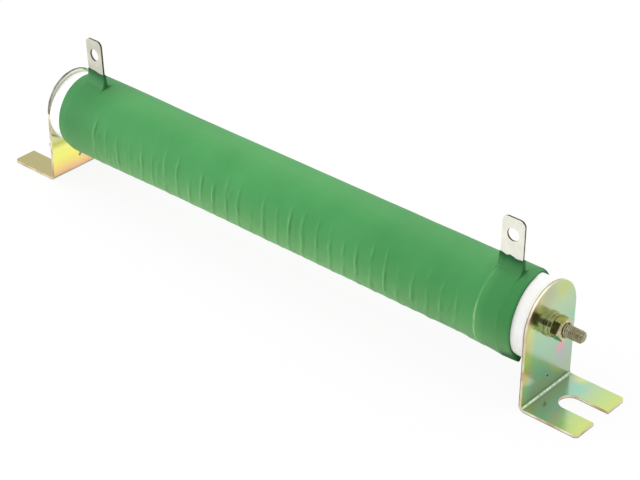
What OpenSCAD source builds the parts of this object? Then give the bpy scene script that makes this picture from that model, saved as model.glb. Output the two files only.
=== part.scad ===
// Tubular wirewound power resistor on two slotted angle brackets.
// X runs along the tube, Y to the back, Z up.
// The origin is on the mounting surface, below the middle of the tube.

/* [Ceramic tube] */
// Length of the ceramic tube, end face to end face
tube_l = 300; // [220:1:400]
// Outer diameter of the tube
tube_d = 37.5; // [34:0.5:42]
// Bore of the tube
tube_bore_d = 26; // [18:0.5:30]
// Chamfer on the edges of the tube's ends
tube_chamfer = 0.6; // [0.2:0.1:1.2]

/* [Winding] */
// Diameter of the resistance wire
wire_d = 0.6; // [0.4:0.05:1]
// Distance along the tube from turn to turn
turn_pitch = 8.2; // [6:0.1:12]

/* [Terminals] */
// Thickness of the terminal strip
strip_t = 0.5; // [0.3:0.05:0.8]
// Width of the terminal strip, band and lug alike
strip_w = 12; // [8:0.5:16]
// Distance from the tube's end to the middle of each band
band_inset = 19.7; // [17:0.1:40]
// Height above the band at which the strip's two ends meet
fold_h = 0.5; // [0.3:0.1:4]
// Distance of the lug in front of the tube's axis
lug_offset = 2; // [0:0.1:4]
// Height of the lug's top above the tube
lug_h = 27; // [22:0.5:40]
// Radius of the lug's top corners
lug_corner_r = 3; // [1:0.1:4]
// Diameter of the hole in the lug
lug_hole_d = 6.4; // [4:0.1:7]
// Distance of the hole's centre below the lug's top
lug_hole_drop = 8.3; // [6:0.1:12]
// Twist of the far lug about its upright axis, as it was bent in use
far_lug_twist = 5.5; // [0:0.5:15]
// Lean of the far lug towards its end of the tube
far_lug_lean = 3.5; // [0:0.5:5]
// How much lower the far lug's top stands than the near one's
far_lug_drop = 1.3; // [0:0.1:3]

/* [Coating] */
// Thickness of the coat over the windings and bands
coat_wall = 0.2; // [0.15:0.05:0.5]
// Length of bare tube beyond each end of the coat
coat_margin = 7.5; // [4:0.1:10]
// Height of the ridge that each turn raises in the coat
ridge_h = 0.25; // [0.1:0.05:0.6]
// Width of that ridge at its foot
ridge_w = 2.2; // [1.2:0.1:4]
// Length of the slope by which the coat rises to a band from the winding
shoulder_l = 3; // [0.4:0.1:4]
// Thickness of the coat on the sides of a band
coat_side = 0.5; // [0.3:0.05:0.8]
// Height above the tube to which the coat climbs each lug
climb_h = 8.2; // [7.5:0.1:12]
// Width by which the coat widens from there down to the tube, in a hollow curve
climb_flare = 4; // [1:0.1:5]
// Chamfer on the coat's ends
coat_chamfer = 0.5; // [0.2:0.1:0.8]
// Radius of the run of coat at the near end
run_r = 1.3; // [0.8:0.1:1.8]
// Length of that run
run_l = 18; // [10:0.5:25]
// Distance that it reaches out past the coat's end
run_reach = 4; // [1:0.1:4]
// Angle of the run below the front of the tube
run_angle = 52; // [30:1:80]

/* [Brackets] */
// Width of a bracket
bracket_w = 37; // [30:0.5:44]
// Height of a bracket to the top of its round end
bracket_h = 58; // [54:0.5:70]
// Thickness of the bracket's sheet
sheet_t = 1.5; // [1:0.1:2.5]
// Inner radius of the bend between plate and foot
bend_r = 1.5; // [0.5:0.1:3]
// Height of the bolt's axis above the mounting surface
axis_h = 37.5; // [34:0.5:42]
// Length of the foot, from the plate's outer face
foot_l = 29.5; // [26:0.5:40]
// Radius of the foot's outer corners
foot_corner_r = 2; // [0.5:0.1:4]
// Width of the open slot in the foot
slot_w = 10.8; // [6:0.1:14]
// Length of the slot, from the foot's outer edge
slot_l = 21.5; // [14:0.5:22]
// Diameter of the small tooling hole in the plate
tool_hole_d = 2; // [1:0.1:3]
// Height of the tooling hole's centre
tool_hole_h = 9; // [7:0.5:14]

/* [Bolt] */
// Diameter of the through bolt
bolt_d = 6; // [5:0.5:7]
// Distance that the bolt stands out of the near bracket
bolt_reach = 17; // [14:0.5:30]
// Chamfer on the bolt's end
bolt_chamfer = 0.7; // [0.3:0.1:1.2]
// Width across the flats of the bolt's head and of the nut
hex_af = 10; // [9:0.5:13]
// Height of the bolt's head
head_h = 4; // [3:0.2:5.5]
// Height of the nut
nut_h = 5; // [4:0.2:6]
// Outer diameter of the flat washer
washer_d = 12; // [11:0.5:16]
// Thickness of the flat washer
washer_t = 1.6; // [1:0.1:2]
// Outer diameter of the spring washer
spring_d = 11; // [10:0.1:12]
// Thickness of the spring washer
spring_t = 1.6; // [1:0.1:2]
// Angle of the split in the spring washer
spring_split = 12; // [6:1:20]
// Length of the bush in each end of the tube's bore
bush_l = 10; // [6:0.5:16]

/* [Fits] */
// Gap between pieces that are wound, pressed or bonded on each other
seat_gap = 0.05; // [0.02:0.01:0.1]
// Gap all round the bolt in the brackets, bushes and washers
bolt_gap = 0.3; // [0.15:0.05:0.5]
// Gap all round the bolt's thread in the nut
thread_gap = 0.05; // [0.02:0.01:0.1]

/* [Hidden] */
$fn = 72;

tube_r = tube_d / 2;
plate_x = tube_l / 2 + sheet_t;
band_x = tube_l / 2 - band_inset;

// The wire is a six-sided tube in straight chords, lifted so that the chords clear the ceramic.
wire_chords = 20;
wire_sides = 6;
wire_in_r = (tube_r + seat_gap) / cos(180 / wire_chords);
wire_mid_r = wire_in_r + wire_d / 2;
wire_steps = round(2 * band_x / turn_pitch * wire_chords);

// The bands clamp the wire's end turns.
band_in_r = wire_mid_r + wire_d / 2 + seat_gap;
band_out_r = band_in_r + strip_t;
coat_r = band_in_r + coat_wall;
ridge_r = coat_r + ridge_h;
band_cover_r = band_out_r + seat_gap + coat_wall;

// The strip leaves the band along two straight legs, which meet at the foot of the lug.
leg_sink = 0.4 * strip_t;
leg_d = band_out_r - leg_sink;
fold_z = band_out_r + fold_h;
fold_turn = acos(leg_d / norm([lug_offset, fold_z]));
front_turn = fold_turn + atan2(lug_offset, fold_z);
back_turn = fold_turn - atan2(lug_offset, fold_z);
lug_t = 2 * strip_t;
lug_top_z = tube_r + lug_h;
lug_foot_z = fold_z * (leg_d - strip_t) / leg_d + strip_t / 4;

coat_end_x = tube_l / 2 - coat_margin;
cover_x = strip_w / 2 + coat_side;
climb_z = tube_r + climb_h;
climb_steps = 10;
ridge_room = band_x - cover_x - shoulder_l - ridge_w;
ridges_each_side = floor(ridge_room / turn_pitch);

bend_out_r = bend_r + sheet_t;
foot_end = sheet_t + foot_l;
arc_z = bracket_h - bracket_w / 2;
hex_corner_d = hex_af / cos(30);
washer_x = plate_x + washer_t;
spring_x = washer_x + spring_t;

// Places children on the bolt's axis, with their own Z along X.
module on_axis(x = 0) {
    translate([x, 0, axis_h]) rotate([0, 90, 0]) children();
}

// Extrudes an outline drawn in Y and Z along X, centred on x.
module along_x(x, length) {
    translate([x, 0, axis_h]) rotate([90, 0, 90]) linear_extrude(length, center = true) children();
}

// Ring between two diameters, standing on its own base.
module ring(outer_d, inner_d, height) {
    difference() {
        cylinder(h = height, d = outer_d);
        translate([0, 0, -1]) cylinder(h = height + 2, d = inner_d);
    }
}

// Ceramic tube with chamfered end edges.
module ceramic_tube() {
    half = tube_l / 2;
    bore_r = tube_bore_d / 2;
    color("#f4f4ee") on_axis() rotate_extrude() polygon([
        [bore_r, -half],
        [tube_r - tube_chamfer, -half],
        [tube_r, -half + tube_chamfer],
        [tube_r, half - tube_chamfer],
        [tube_r - tube_chamfer, half],
        [bore_r, half]
    ]);
}

// Point of the wire's surface at one chord end and one side.
// The wire passes the front of the tube at x = 0.
function wire_point(step, side) =
    let (x = -band_x + 2 * band_x * step / wire_steps)
    let (turn = 180 + 360 * x / turn_pitch)
    let (around = 360 * side / wire_sides)
    let (r = wire_mid_r + wire_d / 2 * cos(around))
    [x + wire_d / 2 * sin(around), r * cos(turn), r * sin(turn)];

// One helix of resistance wire from band to band.
module resistance_winding() {
    points = [for (i = [0 : wire_steps]) for (k = [0 : wire_sides - 1]) wire_point(i, k)];
    last = wire_steps * wire_sides;
    walls = [
        for (i = [0 : wire_steps - 1])
        for (k = [0 : wire_sides - 1])
        let (a = i * wire_sides + k)
        let (b = i * wire_sides + (k + 1) % wire_sides)
        each [[a, b, b + wire_sides], [a, b + wire_sides, a + wire_sides]]
    ];
    near_cap = [for (k = [wire_sides - 1 : -1 : 0]) k];
    far_cap = [for (k = [0 : wire_sides - 1]) last + k];
    color("#8d8a86") translate([0, 0, axis_h]) polyhedron(points, concat(walls, [near_cap, far_cap]));
}

// Section of the band and its two legs in Y and Z, drawn in from the strip's outer face.
module strip_section(inset) {
    d = leg_d - inset;
    circle(band_out_r - inset);
    polygon([
        [-lug_offset * d / leg_d, fold_z * d / leg_d],
        [-d * sin(front_turn), d * cos(front_turn)],
        [0, 0],
        [d * sin(back_turn), d * cos(back_turn)]
    ]);
}

// Face of the lug in X and Z: a straight blade with round top corners.
module lug_face(top_z, grow) {
    half = strip_w / 2 + grow;
    foot_z = lug_foot_z - grow;
    corner_x = half - lug_corner_r;
    corner_z = top_z - lug_corner_r;
    translate([-half, foot_z]) square([2 * half, corner_z - foot_z]);
    translate([-corner_x, foot_z]) square([2 * corner_x, top_z - foot_z]);
    for (side = [-1, 1]) translate([side * corner_x, corner_z]) circle(lug_corner_r);
}

// Places children on a lug: twisted about its upright axis and leaning from the fold.
module on_lug(x, twist, lean) {
    translate([x, -lug_offset, axis_h + fold_z])
        rotate([0, -lean, -twist])
        translate([0, 0, -fold_z]) children();
}

// Folded terminal strip: a band round the tube and its two ends pressed together as a lug.
module terminal(x, twist = 0, lean = 0, drop = 0, grow = 0) {
    top_z = lug_top_z - drop;
    along_x(x, strip_w + 2 * grow) difference() {
        strip_section(-grow);
        strip_section(strip_t + grow);
    }
    on_lug(x, twist, lean) rotate([90, 0, 0])
        linear_extrude(lug_t + 2 * grow, center = true) difference() {
            lug_face(top_z, grow);
            translate([0, top_z - lug_hole_drop]) circle(d = lug_hole_d);
        }
}

module terminal_left() {
    color("#cfcfba") terminal(-band_x, far_lug_twist, far_lug_lean, far_lug_drop);
}

module terminal_right() {
    color("#e9e9d8") terminal(band_x);
}

// Outline of the coat's near end, from the winding out, as radius and place along the tube.
near_end = [
    [coat_r, band_x - cover_x - shoulder_l],
    [band_cover_r, band_x - cover_x],
    [band_cover_r, band_x + cover_x],
    [coat_r, coat_end_x - coat_chamfer],
    [coat_r - coat_chamfer, coat_end_x],
    [tube_r + seat_gap, coat_end_x]
];

// The far end's outline is the near end's, mirrored and taken the other way.
far_end = [for (i = [len(near_end) - 1 : -1 : 0]) [near_end[i][0], -near_end[i][1]]];

// Outline of the ridge over one turn of the wire.
function ridge(x) = [
    [coat_r, x - ridge_w / 2],
    [ridge_r, x - wire_d / 2],
    [ridge_r, x + wire_d / 2],
    [coat_r, x + ridge_w / 2]
];

// Sleeve of coat, ridged over the turns and raised over the bands.
module coat_sleeve() {
    on_axis() rotate_extrude() polygon(concat(
        far_end,
        [for (k = [-ridges_each_side : ridges_each_side]) each ridge(k * turn_pitch)],
        near_end
    ));
}

// Coat over the strip's legs and up the foot of the lug.
module coat_tent(x, twist = 0, lean = 0) {
    collar = strip_t + seat_gap + 2 * coat_wall;
    along_x(x, 2 * cover_x) strip_section(-seat_gap - coat_wall);
    on_lug(x, twist, lean) rotate([90, 0, 90]) linear_extrude(2 * cover_x, center = true)
        for (side = [-1, 1]) polygon(concat(
            [[0, climb_z], [0, tube_r]],
            [for (i = [0 : climb_steps]) [
                side * (collar + climb_flare * pow(1 - i / climb_steps, 4)),
                tube_r + climb_h * i / climb_steps
            ]]
        ));
}

// Run of coat along the underside of the near end, out onto the bare tube.
module coat_run() {
    tip_x = coat_end_x + run_reach - run_r;
    translate([0, -coat_r * cos(run_angle), -coat_r * sin(run_angle)]) {
        on_axis(tip_x - run_l) cylinder(h = run_l, r = run_r);
        for (x = [tip_x - run_l, tip_x]) translate([x, 0, axis_h]) sphere(run_r);
    }
}

// Green coat over the winding and the bands, one piece from end to end.
module coating() {
    cavity_l = 2 * (band_x + strip_w / 2 + seat_gap);
    color("#57a56b") difference() {
        union() {
            coat_sleeve();
            coat_tent(-band_x, far_lug_twist, far_lug_lean);
            coat_tent(band_x);
            coat_run();
        }
        on_axis(-tube_l / 2) cylinder(h = tube_l, r = tube_r + seat_gap);
        on_axis(-cavity_l / 2) cylinder(h = cavity_l, r = band_in_r);
        terminal(-band_x, far_lug_twist, far_lug_lean, far_lug_drop, seat_gap);
        terminal(band_x, grow = seat_gap);
    }
}

// Ceramic bush that centres the tube on the bolt, flush with the tube's end.
module centring_bush(x) {
    color("#e8e4da") on_axis(x) ring(tube_bore_d - 2 * seat_gap, bolt_d + 2 * bolt_gap, bush_l);
}

module centring_bush_left() {
    centring_bush(-tube_l / 2);
}

module centring_bush_right() {
    centring_bush(tube_l / 2 - bush_l);
}

// Folded section of a bracket in X and Z, with the plate's inner face at x = 0.
module bracket_section() {
    translate([0, bend_out_r]) square([sheet_t, bracket_h - bend_out_r]);
    translate([bend_out_r, 0]) square([foot_end - bend_out_r, sheet_t]);
    translate([bend_out_r, bend_out_r]) intersection() {
        difference() {
            circle(bend_out_r);
            circle(bend_r);
        }
        translate([-bend_out_r, -bend_out_r]) square(bend_out_r);
    }
}

// Face of the plate in Y and Z: straight sides, round top, bolt hole and tooling hole.
module plate_face() {
    difference() {
        union() {
            translate([-bracket_w / 2, 0]) square([bracket_w, arc_z]);
            translate([0, arc_z]) circle(d = bracket_w);
        }
        translate([0, axis_h]) circle(bolt_d / 2 + bolt_gap);
        translate([0, tool_hole_h]) circle(d = tool_hole_d);
    }
}

// Face of the foot in X and Y: round outer corners and a slot that is open at the outer edge.
module foot_face() {
    half = bracket_w / 2;
    slot_x = foot_end - slot_l + slot_w / 2;
    difference() {
        union() {
            translate([0, -half]) square([foot_end - foot_corner_r, bracket_w]);
            translate([0, -half + foot_corner_r]) square([foot_end, bracket_w - 2 * foot_corner_r]);
            for (side = [-1, 1])
                translate([foot_end - foot_corner_r, side * (half - foot_corner_r)]) circle(foot_corner_r);
        }
        translate([slot_x, 0]) circle(d = slot_w);
        translate([slot_x, -slot_w / 2]) square([slot_l, slot_w]);
    }
}

// Angle bracket folded from sheet, with its foot pointing outwards.
module bracket() {
    intersection() {
        rotate([90, 0, 0]) linear_extrude(bracket_w, center = true) bracket_section();
        rotate([90, 0, 90]) linear_extrude(foot_end) plate_face();
        linear_extrude(bracket_h) foot_face();
    }
}

module bracket_right() {
    color("#b9cc96") translate([tube_l / 2, 0, 0]) bracket();
}

module bracket_left() {
    color("#e4d784") mirror([1, 0, 0]) translate([tube_l / 2, 0, 0]) bracket();
}

// Hexagon with a flat on top and both ends turned down to a cone, as on a nut or a bolt's head.
module hexagon(height) {
    flat_r = hex_af * 0.475;
    corner_r = hex_corner_d / 2;
    slope = (corner_r - flat_r) * tan(30);
    intersection() {
        rotate([0, 0, 30]) cylinder(h = height, d = hex_corner_d, $fn = 6);
        rotate_extrude() polygon([
            [0, 0],
            [flat_r, 0],
            [corner_r, slope],
            [corner_r, height - slope],
            [flat_r, height],
            [0, height]
        ]);
    }
}

// Long hexagon bolt, its head on the far bracket and its end free at the near one.
module through_bolt() {
    root_x = -plate_x - head_h / 2;
    tip_x = plate_x + bolt_reach;
    bolt_r = bolt_d / 2;
    color("#8f8a76") {
        on_axis() rotate_extrude() polygon([
            [0, root_x],
            [bolt_r, root_x],
            [bolt_r, tip_x - bolt_chamfer],
            [bolt_r - bolt_chamfer, tip_x],
            [0, tip_x]
        ]);
        on_axis(-plate_x - head_h) hexagon(head_h);
    }
}

module flat_washer() {
    color("#b8b07c") on_axis(plate_x) ring(washer_d, bolt_d + 2 * bolt_gap, washer_t);
}

// Split spring washer, pressed flat, with its split at the back.
module spring_washer() {
    in_r = bolt_d / 2 + bolt_gap;
    width = spring_d / 2 - in_r;
    color("#c9c0a0") on_axis(washer_x) rotate([0, 0, 90 + spring_split / 2])
        rotate_extrude(angle = 360 - spring_split) translate([in_r, 0]) square([width, spring_t]);
}

module hex_nut() {
    color("#a79f70") on_axis(spring_x) difference() {
        hexagon(nut_h);
        translate([0, 0, -1]) cylinder(h = nut_h + 2, r = bolt_d / 2 + thread_gap);
    }
}

ceramic_tube();
resistance_winding();
coating();
terminal_left();
terminal_right();
centring_bush_left();
centring_bush_right();
bracket_left();
bracket_right();
through_bolt();
flat_washer();
spring_washer();
hex_nut();
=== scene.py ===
"""Looks of a tubular wirewound power resistor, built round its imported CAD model."""

import math

import bmesh
import bpy
from mathutils import Matrix, Vector, noise


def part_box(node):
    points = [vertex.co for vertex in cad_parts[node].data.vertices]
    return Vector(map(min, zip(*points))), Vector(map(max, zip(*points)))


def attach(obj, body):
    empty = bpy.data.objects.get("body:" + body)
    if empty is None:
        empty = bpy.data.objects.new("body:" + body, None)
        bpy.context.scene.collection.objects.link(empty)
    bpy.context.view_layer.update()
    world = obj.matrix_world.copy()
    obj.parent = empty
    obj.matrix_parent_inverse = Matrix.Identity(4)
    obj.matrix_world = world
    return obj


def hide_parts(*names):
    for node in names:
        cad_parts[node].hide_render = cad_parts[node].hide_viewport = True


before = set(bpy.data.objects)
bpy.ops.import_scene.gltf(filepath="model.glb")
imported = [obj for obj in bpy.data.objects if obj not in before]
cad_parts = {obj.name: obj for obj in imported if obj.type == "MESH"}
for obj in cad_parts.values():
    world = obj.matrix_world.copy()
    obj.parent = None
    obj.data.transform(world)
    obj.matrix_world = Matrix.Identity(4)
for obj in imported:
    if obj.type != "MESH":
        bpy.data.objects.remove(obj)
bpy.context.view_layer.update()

# Meshes are modelled in millimetres and scaled to the frame's metres at the end.
MM = 0.001

# The two ends of the tube, as the sign of their X.
NEAR, FAR = 1, -1


def span(node):
    """Lowest and highest corner of a CAD node, in millimetres."""
    return [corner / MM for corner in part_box(node)]


tube_low, tube_high = span("ceramic_tube")
strip_low, strip_high = span("terminal_right")
plate_low, plate_high = span("bracket_right")
coat_low = span("coating")[0]
bolt_high = span("through_bolt")[1]

# The tube's axis runs along X at this height.
AXIS_H = (tube_low.z + tube_high.z) / 2
TUBE_R = (tube_high.y - tube_low.y) / 2
TUBE_END = tube_high.x
TUBE_BORE_R = 13.0
TUBE_ROUNDING = 0.6
TUBE_STEPS = 144

# The coat: a skin over the wire, raised where it covers the terminal bands. A turn on it is in
# degrees from the front upwards, and a level is in degrees above the axis, at the front or the back.
COAT_END = -coat_low.x
COAT_R = 19.88
COAT_STEPS = 108
BAND_X = (strip_low.x + strip_high.x) / 2
BAND_RISE = -coat_low.y - COAT_R
BAND_COVER = 6.5
# Length of the coat's slope up to each band.
BAND_SHOULDER = {NEAR: 12.0, FAR: 60.0}
# Rings of the skin about the middle of a band: before it, at its edges, across it and past it.
RINGS_BEFORE = (-9.4, -9.0, -8.6, -8.2, -7.9)
RINGS_EDGE = [BAND_COVER + 0.15 * i for i in range(-4, 8)]
RINGS_ACROSS = [-5.75 + 0.2 * i for i in range(10)] + [-3.5 + 0.5 * i for i in range(19)]
RINGS_PAST = (8.0, 8.6, 9.4, 10.2, 11.0)
# The rounded lip of the coat's ends: inset from the end and drop below the skin.
LIP = ((0.0, 0.55), (0.12, 0.22), (0.5, 0.0))
# The skin ends this far off the tube, and what lies below the least radius isn't raised.
COAT_SEAT = 0.03
RAISED_LEAST_R = COAT_R - 0.7
# The ends were brushed out of square: shift on the axis, and more for each millimetre of Y in front
# of it and behind it, within this length of the end.
END_SHIFT = {NEAR: (-1.1, -0.1, -0.28), FAR: (-0.8, -0.06, -0.06)}
END_LENGTH = 6.0
# The wet coat slumped, so it is thicker underneath, between these levels.
SLUMP_H = 0.55
SLUMP_LEVELS = (12, -48)
# Low lumps all over: height, and their size along the tube and across it.
LUMP_H = 0.07
LUMP_LENGTH = 14
LUMP_WIDTH = 9
# The bands set the part's width. A rise that takes more than this share of the room is held back.
# The room is worked out for a surface that faces to the side by at least this much.
FREE_ROOM = 0.8
SIDEWAYS_LEAST = 0.3

# Beads where the coat laps the near band's two edges: place, height and half width.
INNER_BEAD_X = 125.2
BEADS = ((INNER_BEAD_X, 0.22, 0.8), (136.7, 0.12, 1.0))
# They are faint high up on the tube and full below, and uneven by a mean and a spread.
BEAD_LEAST = 0.2
BEAD_TURNS = (36, 14)
BEAD_MEAN = 0.85
BEAD_SPREAD = 0.6
# The inner one's painted highlight line: strength, distance from its middle and width.
BEAD_PALE = (1.0, -0.3, 0.55)

# The coat sank into a crease along one edge of each band, beside the lug, between these turns, and
# painted shade darkens the crease.
CREASE_OFF_BAND = 6.75
CREASES = (-BAND_X + CREASE_OFF_BAND, BAND_X + CREASE_OFF_BAND)
CREASE_WIDTH = 0.4
CREASE_DEPTH = 0.35
CREASE_SHADE = 0.9
CREASE_OPENS = (56, 82)
CREASE_CLOSES = (96, 90)

# The wire under the coat winds on with this lead and shows as a low helical ridge.
WIRE_LEAD = 8.2
WOUND_HALF = BAND_X - 9.7
WOUND_FADE = 3.0
RINGS_PER_TURN = 22
RIDGE_H = 0.38
RIDGE_HALF = 1.5
# Its height at the far end, as a share, and the gains from one place along the tube to another.
RIDGE_FAR = 0.55
RIDGE_GAINS = ((0.3, -100, -20), (0.55, 15, 85))
# Each ridge starts at about this level, give or take, and is full so many degrees below. Above its
# start a trace of it is left.
RIDGE_START = 38
RIDGE_START_STRAY = 26
RIDGE_GROWTH = 36
RIDGE_LEAST = 0.03
# Underneath, the ridges are drawn along the tube by the sinking coat, and flatten by a share.
SAG = 4.2
SAG_LEVELS = (-4, -40)
SAG_CURVE = 1.4
FLATTENING = 0.5
FLAT_LEVELS = (-26, -50)
# A ridge's line wanders, in patches: size, length along the tube, degrees round it and seed.
RIDGE_WANDER = ((1.2, 13, 60, 3.7), (0.35, 9, 14, 6.2))
# It comes and goes, by a mean and a spread.
RIDGE_MEAN = 0.62
RIDGE_SPREAD = 1.1
# Painted light beside a ridge: a painted highlight line and a paler painted sheen on its lit side,
# and painted shade on its other side, each as strength, distance from its line and width. The
# highlight line is drawn only where the ridge shows by more than a least share.
PALE_LINE = (0.34, -0.5, 0.35)
PALE_LINE_LEAST = 0.5
PALE_SIDE = (0.1, -0.7, 0.9)
DEEP_SIDE = (0.22, 1.0, 0.6)
# Small wrinkles run between the ridges, fewer towards the near end, with painted shade along them.
WRINKLE_H = 0.32
WRINKLE_WIDTH = 0.27
WRINKLE_SHADE = 0.12
WRINKLE_WANDER = 1.8
WRINKLE_MEAN = 0.45
WRINKLE_SPREAD = 1.6
WRINKLE_LEAST = 0.45
WRINKLE_PLACES = (70, -20)

# The coat's colour. A painted sheen makes it paler towards the bottom, where it stands for light from
# the
# floor, and a little at the top: strength and the levels between which it sets in. Deeper towards the
# far end, and deeper with painted shade towards the near one: strength and the places between which
# it sets in.
PALER = ((0.56, 34, -64), (0.1, 50, 90))
DEEPER_FAR = ((0.06, -30, -80), (0.3, -100, -134))
DEEPER_NEAR = ((0.11, 10, 120), (0.17, INNER_BEAD_X + 0.6, INNER_BEAD_X + 4.6))
# Painted shade deepens the near end's underside, and a painted shadow the coat's rim against the bare
# tube.
DEEPER_UNDER = 0.13
UNDER_PLACES = (60, 100)
UNDER_TURNS = (-18, -40)
RIM_SHADE = 0.9
RIM_RADII = (COAT_R - 0.3, COAT_R - 0.5)

# A run of the coat hangs past its near end, low on the front: it swells over its length, more at
# its tip, and the tip reaches on over the bare tube. Painted shade darkens the end of the run and its
# tip.
RUN_TURN = -51.0
RUN_WIDTH = 8.0
RUN_LENGTH = 16.0
RUN_H = 0.9
RUN_TIP_H = 0.5
RUN_TIP = (COAT_END - 6, COAT_END - 1)
RUN_REACH = 3.2
REACH_WIDTH = 22
REACH_LENGTH = 4.5
REACH_CURVE = 2.6
REACH_SHADE = 1.5
RUN_SHADE_TURN = RUN_TURN + 4
RUN_SHADE_WIDTH = 15
RUN_SHADE_PLACES = (COAT_END - 10, COAT_END - 4)

# Each lug stands on the two legs of its strip, and the coat sweeps up to it.
LUG_Y = -2.0
FOLD_Z = 58.18
LUG_FROM_Z = FOLD_Z + 1
LUG_HALF_T = 0.5
FAR_LUG_TWIST = 5.5
FRONT_LEG_TURN = 21.4
BACK_LEG_TURN = 10.4
COAT_ON_LUG = 0.3
CLIMB_Z = 64.5
SWEEP_FRONT = 1.8
SWEEP_BACK = 1.4
SWEEP_SIDE = (BAND_COVER + 0.4, BAND_COVER - 0.2)
ROOF_SIDE = (BAND_COVER + 0.6, BAND_COVER)
# The coat's brushed edge on each lug: place across the lug and height off its mean.
EDGE_WAVES = {
    NEAR: ((-7, 0.3), (-5.6, -0.2), (-2.8, -0.8), (-1.2, -0.1), (0, -0.3), (2.4, -0.9), (7, -0.4)),
    FAR: ((-7, 0.2), (-2, 0.1), (2, -0.2), (7, 0.1)),
}
# Painted shade deepens the coat's green on the front leg, over this distance, and most on the lug
# itself, where the coat also lies thicker in the corner.
LEG_SHADE = 0.45
LEG_SHADE_LENGTH = 7.0
CLIMB_SHADE_CURVE = 0.8
# The skin round a lug, as half its length, half its depth and its least height over the axis, is
# cut finely at these gaps from the coat on the lug.
LUG_PATCH = (9, 15, 12)
LUG_CUTS = (0, 0.03, 0.1, 0.2, 0.35, 0.6, 0.9, 1.3, 1.8)

# The bolt's rolled thread.
THREAD_PITCH = 1.0
THREAD_R = 2.97
THREAD_DEPTH = 0.55
THREAD_START = TUBE_END - 9.0
THREAD_STEPS = 36
THREAD_TIP_R = 2.3
# One pitch of it: share of the pitch and depth below the crest.
THREAD_PROFILE = ((0, THREAD_DEPTH), (0.12, THREAD_DEPTH), (0.45, 0), (0.58, 0), (0.62, 0.05),
                  (0.88, THREAD_DEPTH), (1, THREAD_DEPTH))

# The nut's turn when it was tightened, and the countersink of its hole.
NUT_TURN = 5.0
NUT_SINK = 0.7
NUT_HOLE_MOST = 3.5

# Widths of the worn edges.
STRIP_WEAR = 0.12
SHEET_WEAR = 0.2
BOLT_WEAR = 0.15
NUT_WEAR = 0.12
FLAT_WASHER_WEAR = 0.2
SPRING_WASHER_WEAR = 0.15

# The bent bracket sheet, and the width of the dark part of its sheared edges, on the side towards the
# tube
# and the floor: painted shadow there, on the torn part of the shear.
SHEET_T = 1.5
BEND_OUT_R = 3.0
DARK_EDGE_WIDTH = 0.4
TOOL_HOLE_Z = 9.0
TOOL_HOLE_MOST = 1.3
PLATE_X = plate_low.x + SHEET_T
PLATE_ARC_Z = plate_high.z - (plate_high.y - plate_low.y) / 2
# Which way a face looks, by its normal: the least along an axis for a flat face, the least away from
# the tube for the outer film, the most along Y for the bend, the most along Z for the shaded part of
# a hole, and the most along the way that a lug faces for its sheared edge.
FLAT_LEAST = 0.9
OUTWARD_LEAST = 0.01
BEND_MOST_Y = 0.3
SHADED_MOST_Z = 0.4
LUG_EDGE_MOST = 0.8
# How far a face may be from the surface that it counts as part of.
SLACK = 0.01
BEND_SLACK = 0.1

# Slots of a bracket's materials.
FILM, CUT_EDGE, SHADED_TORN_EDGE, OUTER_FILM = range(4)

# Points closer than this are one: on a cut, and in a merged copy of a CAD node.
CUT_GAP = 0.001
MERGE_GAP = 0.002
# Faces of a copy that differ by less than this angle become one, and edges sharper than this wear.
LEVEL_ANGLE = 0.5
WORN_ANGLE = 25.0

# The photograph's camera, found by fitting the part's edges to it.
CAMERA_LENS = 110.0
CAMERA_SENSOR = 36.0
CAMERA_AZIMUTH = 41.109
CAMERA_ELEVATION = 31.829
CAMERA_ROLL = 0.350
CAMERA_PLACE = Vector((536.83, -594.28, 514.44)) * MM

# Soft boxes that face the middle of the part: name, size in metres, watts and place.
LIGHTS = (("key", 1.1, 3.0, (-0.6, -0.3, 1.0)), ("rake", 0.5, 5.0, (-1.05, -0.55, 0.2)))
LIGHT_AIM = Vector((0, 0, 0.04))

# The white tent dims in a tall oval round this way, from one closeness to it to the other.
DIM_WAY = Vector((0.2, -0.92, 0.2)).normalized()
DIM_TALL = (1, 1, 0.6)
DIM_CLOSENESS = (0.8, 0.93)
TENT_BRIGHT = 1.08
TENT_DIM = 0.1


# Curves for drawing shapes and tones

def clamp01(value):
    """A value held between 0 and 1."""
    return min(1.0, max(0.0, value))


def share(value, start, end):
    """How far a value has come from start to end, from 0 to 1."""
    return clamp01((value - start) / (end - start))


def ramp(value, start, end):
    """A smooth step from 0 at start to 1 at end."""
    way = share(value, start, end)
    return way * way * (3 - 2 * way)


def stacked(value, ramps):
    """Sum of several ramps, each given as its strength, start and end."""
    return sum(strength * ramp(value, start, end) for strength, start, end in ramps)


def bell(offset, width):
    """A bell of height 1, about a third as high at one width from its middle."""
    return math.exp(-(offset / width) ** 2)


def mound(offset, half):
    """A smooth mound of height 1 that ends at half its width from its middle."""
    return max(0.0, 1 - (offset / half) ** 2) ** 2


def stroke(offset, strength, place, width):
    """A bell of the given strength at a place beside a line."""
    return strength * bell(offset - place, width)


def patches(x, turn, along, around, seed):
    """Smooth noise on the coat, in patches of so many mm along the tube and degrees round it."""
    return noise.noise(Vector((x / along, turn / around, seed)))


def end_of(x):
    """The end of the tube that a place along it belongs to."""
    return NEAR if x > 0 else FAR


# Materials

def to_linear(code):
    """An sRGB hex colour as the linear colour that a socket takes."""
    parts = [int(code[i:i + 2], 16) / 255 for i in (1, 3, 5)]
    return [c / 12.92 if c <= 0.04045 else ((c + 0.055) / 1.055) ** 2.4 for c in parts] + [1.0]


def add_node(tree, kind, settings=(), values=(), links=(), stops=()):
    """Add a node with its settings, socket values, incoming links and ramp stops."""
    node = tree.nodes.new(kind)
    for key, value in dict(settings).items():
        setattr(node, key, value)
    for key, value in dict(values).items():
        node.inputs[key].default_value = value
    for key, source in dict(links).items():
        tree.links.new(source, node.inputs[key])
    for index, (place, code) in enumerate(stops):
        if index > 1:
            node.color_ramp.elements.new(place)
        node.color_ramp.elements[index].position = place
        node.color_ramp.elements[index].color = to_linear(code)
    return node


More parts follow.
